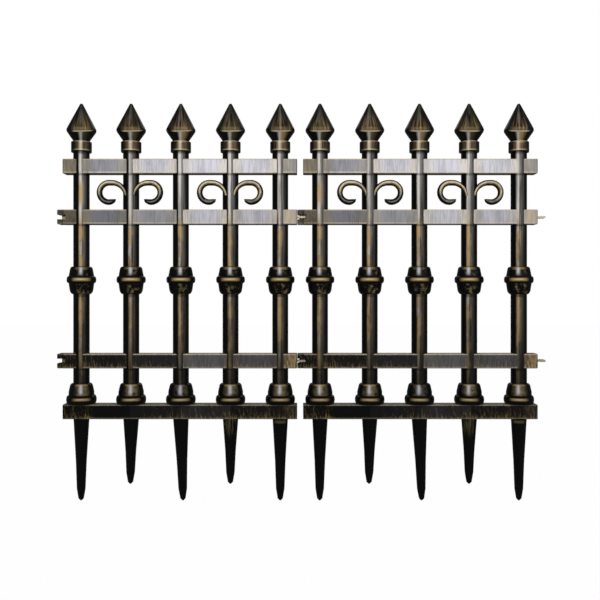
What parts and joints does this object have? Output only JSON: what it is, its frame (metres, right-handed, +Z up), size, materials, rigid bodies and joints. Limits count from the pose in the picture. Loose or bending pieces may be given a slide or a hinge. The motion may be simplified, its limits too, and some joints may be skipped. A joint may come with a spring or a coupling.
{
  "type": "garden fence panels, staked",
  "caption": "Low stake-in garden fence of two interlocking panels with spear-topped round pickets, flat rails, C-scrolls, knuckles and bell feet.",
  "frame": {"origin": "on the ground line, the underside of the left panel's bottom rail, midway between its first two pickets and in the middle of the rail's depth", "axes": "+X along the fence from the left panel to the right one, -Y towards the front, +Z up"},
  "size_m": [0.7324, 0.0446, 0.5988],
  "materials": {
    "brushed_plastic": "gloss black with brushed-on gold",
    "black_plastic": "gloss"
  },
  "bodies": {
    "root": {"left_top_rail": "brushed_plastic", "left_second_rail": "brushed_plastic", "left_third_rail": "brushed_plastic", "left_bottom_rail": "brushed_plastic", "left_post_1": "brushed_plastic", "left_finial_1": "brushed_plastic", "left_stake_1": "black_plastic", "left_post_2": "brushed_plastic", "left_finial_2": "brushed_plastic", "left_stake_2": "black_plastic", "left_post_3": "brushed_plastic", "left_finial_3": "brushed_plastic", "left_stake_3": "black_plastic", "left_post_4": "brushed_plastic", "left_finial_4": "brushed_plastic", "left_stake_4": "black_plastic", "left_post_5": "brushed_plastic", "left_finial_5": "brushed_plastic", "left_stake_5": "black_plastic", "left_knuckles": "brushed_plastic", "left_bell_feet": "brushed_plastic", "left_scrolls": "brushed_plastic", "right_top_rail": "brushed_plastic", "right_second_rail": "brushed_plastic", "right_third_rail": "brushed_plastic", "right_bottom_rail": "brushed_plastic", "right_post_1": "brushed_plastic", "right_finial_1": "brushed_plastic", "right_stake_1": "black_plastic", "right_post_2": "brushed_plastic", "right_finial_2": "brushed_plastic", "right_stake_2": "black_plastic", "right_post_3": "brushed_plastic", "right_finial_3": "brushed_plastic", "right_stake_3": "black_plastic", "right_post_4": "brushed_plastic", "right_finial_4": "brushed_plastic", "right_stake_4": "black_plastic", "right_post_5": "brushed_plastic", "right_finial_5": "brushed_plastic", "right_stake_5": "black_plastic", "right_knuckles": "brushed_plastic", "right_bell_feet": "brushed_plastic", "right_scrolls": "brushed_plastic"}
  },
  "joints": []
}
